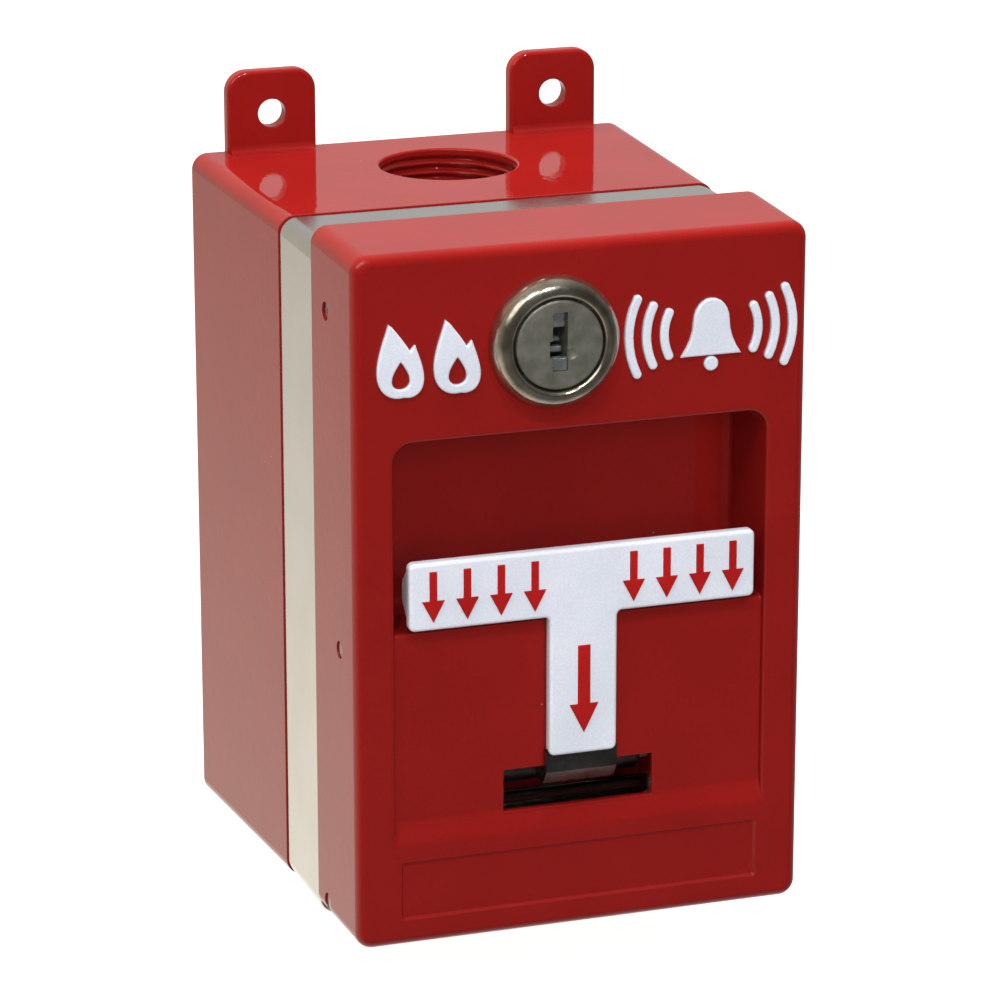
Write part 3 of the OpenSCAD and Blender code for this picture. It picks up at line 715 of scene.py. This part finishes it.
def pull_handle():
    lo, hi = span("pull_handle")
    pivot = middle("handle_pin")
    back = HANDLE_FACE + STEM_T
    face = slab(t_ring, HANDLE_FACE, back, 0.75, 0.4)
    neck = prism_x([(HANDLE_FACE + 0.9, STEM_LOW + 1), (back, STEM_LOW + 1), (back, pivot.z + 0.7),
                    (pivot.y, pivot.z + 0.7), (pivot.y, pivot.z - 1.7), (1.8, pivot.z - 1.7),
                    (HANDLE_FACE + 0.9, pivot.z + 0.9)], -STEM_HALF - 0.3, STEM_HALF + 0.3)
    barrel = rod("X", (0, pivot.y, pivot.z), 3, -13, 13, 0.4)
    tail_z = pivot.z - 0.45
    corners = ((-3, tail_z - 1.2), (3, tail_z - 1.2), (3, tail_z + 1.2), (-3, tail_z + 1.2))
    tail = loft([[Vector((x, y, z + slope)) for x, z in corners]
                 for y, slope in ((pivot.y, 0.45), (hi.y - 0.1, 0.0))])
    white = place("t_handle", join(face, bar_back()), ("pull_handle",))
    white.visible_glossy = False  # its image would draw a line across the pocket
    body = cut(join(neck, barrel, tail), rod("X", (0, pivot.y, pivot.z), 1.56, -14, 14, 0, 32))
    place("handle_neck", body, (), "zinc_steel", BODY["pull_handle"], "neck_steel")


# Raised signs ------------------------------------------------------------------


def relief(node, rise, edge):
    """Raised signs with rounded edges, over the outlines of a CAD node's front face."""
    lo, hi = span(node)
    bm = bmesh.new()
    bm.from_mesh(NODES[node].data)
    for v in bm.verts:
        v.co = (v.co - ORIGIN) / MM
    bmesh.ops.remove_doubles(bm, verts=bm.verts, dist=0.004)
    faces = [f for f in bm.faces if all(abs(v.co.y - lo.y) < 0.01 for v in f.verts)]
    rim = [e for e in bm.edges if sum(f in faces for f in e.link_faces) == 1]
    curve = bpy.data.curves.new(node, "CURVE")
    curve.dimensions = "2D"
    curve.fill_mode = "BOTH"
    curve.extrude = (rise - edge) / 2
    curve.bevel_depth = edge
    curve.bevel_resolution = 3
    curve.offset = -edge
    after = {}
    for e in rim:
        for a, b in ((e.verts[0], e.verts[1]), (e.verts[1], e.verts[0])):
            after.setdefault(a, []).append(b)
    seen = set()
    for start in after:
        if start in seen:
            continue
        ring, at = [], start
        while at and at not in seen:
            seen.add(at)
            ring.append(at.co.copy())
            at = next((v for v in after[at] if v not in seen), None)
        spline = curve.splines.new("POLY")
        spline.points.add(len(ring) - 1)
        for point, co in zip(spline.points, ring):
            point.co = (co.x, co.z, 0, 1)
        spline.use_cyclic_u = True
    bm.free()
    work = bpy.data.objects.new("work", curve)
    bpy.context.scene.collection.objects.link(work)
    mesh = work.evaluated_get(bpy.context.evaluated_depsgraph_get()).to_mesh()
    shape = bmesh.new()
    shape.from_mesh(mesh)
    bpy.data.objects.remove(work)
    front = min(-v.co.z for v in shape.verts)
    for v in shape.verts:
        v.co = Vector((v.co.x, min(-v.co.z - front + lo.y, hi.y), v.co.y))
    return place(node + "_relief", shape, (node,))


# Lock ----------------------------------------------------------------------------

LOCK = middle("lock_body")
LOCK_AXIS = (LOCK.x, 0, LOCK.z)


def lock():
    """Domed bezel with a bevelled mouth, and a plug whose keyway shows its wafers."""
    hi = span("lock_body")[1]
    bezel = [(5.06, hi.y), (8, hi.y), (8, 0), (11.5, 0), (11.5, -0.5)]
    for i in range(1, 13):
        a = math.radians(90 * i / 12)
        bezel.append((11.5 - 2.6 * (1 - math.cos(a)), -0.5 - 3.4 * math.sin(a)))
    bezel += [(8.75, -3.88), (8.3, -3.5), (8.18, -3.3), (8.12, -3.0), (8.1, -0.5), (5.06, -0.5)]
    place("lock_bezel", turned(bezel, "Y", LOCK_AXIS, 128), ("lock_body",))
    plug_lo, plug_hi = span("lock_plug")
    face = plug_lo.y
    plug = [(0, face + 0.02), (7.3, face), (7.55, face + 0.06), (7.72, face + 0.22), (7.78, face + 0.5)]
    plug += [(7.8, -0.6), (5, -0.6), (5, 27.5), (3, 27.5), (3, plug_hi.y), (0, plug_hi.y)]
    x, z = LOCK.x, LOCK.z
    low, high, half = z - 4.5, z + 5.7, 1.35
    keyway = block(x - half, x + half, face - 1, 11, low, high)
    ward = block(x - half - 0.5, x, face - 1, 11, z - 2.2, z + 0.8)
    dimple = turned([(0, -0.45), (0.5, -0.4), (0.9, -0.2), (1.15, 0.1), (1.15, 0.5), (0, 0.5)], "Y",
                    (x + 2.0, face - 0.05, z - 1.65), 32)
    for v in dimple.verts:
        v.co.y = 2 * (face - 0.05) - v.co.y
    bmesh.ops.reverse_faces(dimple, faces=dimple.faces)
    body = cut(turned(plug, "Y", LOCK_AXIS, 128), keyway, ward, dimple)
    place("lock_face", body, ("lock_plug",), material="plug_face")
    wafers = [(low, low + 2.3, 0.15), (low + 2.5, low + 3.6, 3.0), (z - 0.3, z + 0.6, 4.0),
              (high - 2.9, high, 1.3)]
    for i, (z0, z1, depth) in enumerate(wafers):
        bm = plate(2 * half - 0.06, z0 + 0.03, z1 - 0.03, 0.2, face + depth, face + depth + 1.2, 0.25, 0, x)
        place(f"wafer_{i}", bm, (), "nickel", BODY["lock_plug"], "wafer_plate")


# Glass rod -------------------------------------------------------------------------


def glass_rod():
    lo, hi = span("glass_rod")
    at = (lo + hi) / 2
    place("drawn_rod", rod("X", (0, at.y, at.z), (hi.z - lo.z) / 2, lo.x, hi.x, 0.6, 64), ("glass_rod",))


# Everything else: the CAD node with its own edges ------------------------------------


def keep(node):
    """Shows a CAD node as it is, in its own material and with eased edges."""
    obj = NODES[node]
    obj.data.materials.clear()
    obj.data.materials.append(MATERIALS[SLOT_OF[node]])
    weld = obj.modifiers.new("weld", "WELD")
    weld.merge_threshold = 0.004 * MM
    ease = obj.modifiers.new("ease", "BEVEL")
    ease.width = 0.12 * MM
    ease.segments = 2
    ease.angle_limit = SHARP
    ease.harden_normals = True


front_cover()
back_box()
spacer_frame()
pull_handle()
relief("cover_symbols", 0.8, 0.38)
relief("handle_arrows", 0.4, 0.15).visible_glossy = False
lock()
glass_rod()
for node in NODES:
    if not NODES[node].hide_render:
        keep(node)

# ---------------------------------------------------------------------------
# Studio
# ---------------------------------------------------------------------------

CENTRE = Vector((-0.00785, -0.07607, 0.01357))
CAMERA_AT = Vector((-0.2581, -0.8120, 0.25435))


# How bright the surroundings are along each axis: (axis, from, to, level there, level here)
SURROUND = (
    ("Y", -0.6, 0.35, 0.09, 1.0),
    ("Z", -0.42, -0.20, 1.1, 0.47),
    ("X", 0.42, 0.70, 1.0, 0.40),
)


def studio():
    """White surroundings behind and beside the object, dark ones in front of it, soft lamps above."""
    world = bpy.data.worlds.new("studio")
    bpy.context.scene.world = world
    world.use_nodes = True
    tree = world.node_tree
    back = tree.nodes["Background"]
    where = tree.nodes.new("ShaderNodeTexCoord")
    split = tree.nodes.new("ShaderNodeSeparateXYZ")
    tree.links.new(where.outputs["Generated"], split.inputs[0])
    level = None
    for axis, *mapping in SURROUND:
        ramp = tree.nodes.new("ShaderNodeMapRange")
        for key, value in zip(("From Min", "From Max", "To Min", "To Max"), mapping):
            ramp.inputs[key].default_value = value
        tree.links.new(split.outputs[axis], ramp.inputs["Value"])
        product = tree.nodes.new("ShaderNodeMath")
        product.operation = "MULTIPLY"
        tree.links.new(ramp.outputs["Result"], product.inputs[0])
        product.inputs[1].default_value = 1.0
        if level:
            tree.links.new(level, product.inputs[1])
        level = product.outputs[0]
    path = tree.nodes.new("ShaderNodeLightPath")
    pick = tree.nodes.new("ShaderNodeMix")
    tree.links.new(path.outputs["Is Camera Ray"], pick.inputs["Factor"])
    tree.links.new(level, pick.inputs[2])
    pick.inputs[3].default_value = 1.4
    tree.links.new(pick.outputs[0], back.inputs["Strength"])
    side = tree.nodes.new("ShaderNodeMapRange")
    side.inputs["From Min"].default_value = 0.1
    side.inputs["From Max"].default_value = -0.2
    tree.links.new(split.outputs["X"], side.inputs["Value"])
    tint = tree.nodes.new("ShaderNodeMix")
    tint.data_type = "RGBA"
    tree.links.new(side.outputs["Result"], tint.inputs["Factor"])
    tint.inputs[6].default_value = (1.0, 0.985, 0.96, 1)
    tint.inputs[7].default_value = (1.0, 0.93, 0.80, 1)
    tree.links.new(tint.outputs[2], back.inputs["Color"])
    lamp("left_lamp", (-0.34, -0.75, 1.0), 0.06, 3.0, True)
    lamp("right_lamp", (0.10, -0.85, 0.95), 0.06, 2.6, True)
    lamp("high_panel", (-0.75, -0.65, 0.75), 0.6, 2.2, True)
    lamp("front_panel", (-0.1, -1.2, 0.25), 0.8, 8.5, False)
    lamp("left_panel", (-1.1, 0.1, 0.1), 0.8, 4.5, False)
    lamp("top_panel", (0.0, 0.05, 1.0), 0.7, 15.0, False)
    lamp("right_panel", (1.2, 0.2, 0.2), 0.8, 5.5, False)
    lamp("back_panel", (-0.2, 1.2, 0.3), 0.8, 6.0, False)


def lamp(name, at, size, power, mirrored):
    """Square lamp aimed at the object; a mirrored one shows in glossy surfaces."""
    light = bpy.data.lights.new(name, "AREA")
    light.size = size
    light.energy = power
    obj = bpy.data.objects.new(name, light)
    obj.location = at
    obj.rotation_euler = (CENTRE - Vector(at)).to_track_quat("-Z", "Y").to_euler()
    obj.visible_glossy = mirrored
    bpy.context.scene.collection.objects.link(obj)


FLOOR_DROP = 0.020


def floor():
    """Pale floor, low enough for the open cover, that fades into the backdrop and is clear from below."""
    bm = bmesh.new()
    bmesh.ops.create_grid(bm, x_segments=1, y_segments=1, size=1.5)
    mesh = bpy.data.meshes.new("floor")
    bm.to_mesh(mesh)
    bm.free()
    obj = bpy.data.objects.new("floor", mesh)
    obj.location = (0, 0, cad_box[0].z - FLOOR_DROP)
    obj.visible_glossy = False
    obj.visible_diffuse = False
    bpy.context.scene.collection.objects.link(obj)
    s = Shader("floor", Roughness=0.9)
    s.set("Base Color", s.mix(s.noise(3), (0.93, 0.93, 0.93), (0.96, 0.96, 0.96)))
    s.bsdf.inputs["Specular IOR Level"].default_value = 0
    distance = s.add("ShaderNodeVectorMath", operation="LENGTH")
    s.join(s.where, distance.inputs[0])
    fade = s.spread(distance.outputs["Value"], 0.35, 0.0, 0.12, 0.32)
    below = s.add("ShaderNodeNewGeometry").outputs["Backfacing"]
    seen = s.add("ShaderNodeMath", operation="SUBTRACT", use_clamp=True)
    s.join(fade, seen.inputs[0])
    s.join(below, seen.inputs[1])
    s.set("Alpha", seen.outputs[0])
    mesh.materials.append(s.mat)


def camera():
    data = bpy.data.cameras.new("camera")
    data.lens = 167.5
    data.sensor_width = 36
    obj = bpy.data.objects.new("camera", data)
    obj.location = CAMERA_AT
    obj.rotation_euler = (CENTRE - CAMERA_AT).to_track_quat("-Z", "Y").to_euler()
    bpy.context.scene.collection.objects.link(obj)
    bpy.context.scene.camera = obj


studio()
floor()
camera()
bpy.context.scene.view_settings.view_transform = "Standard"
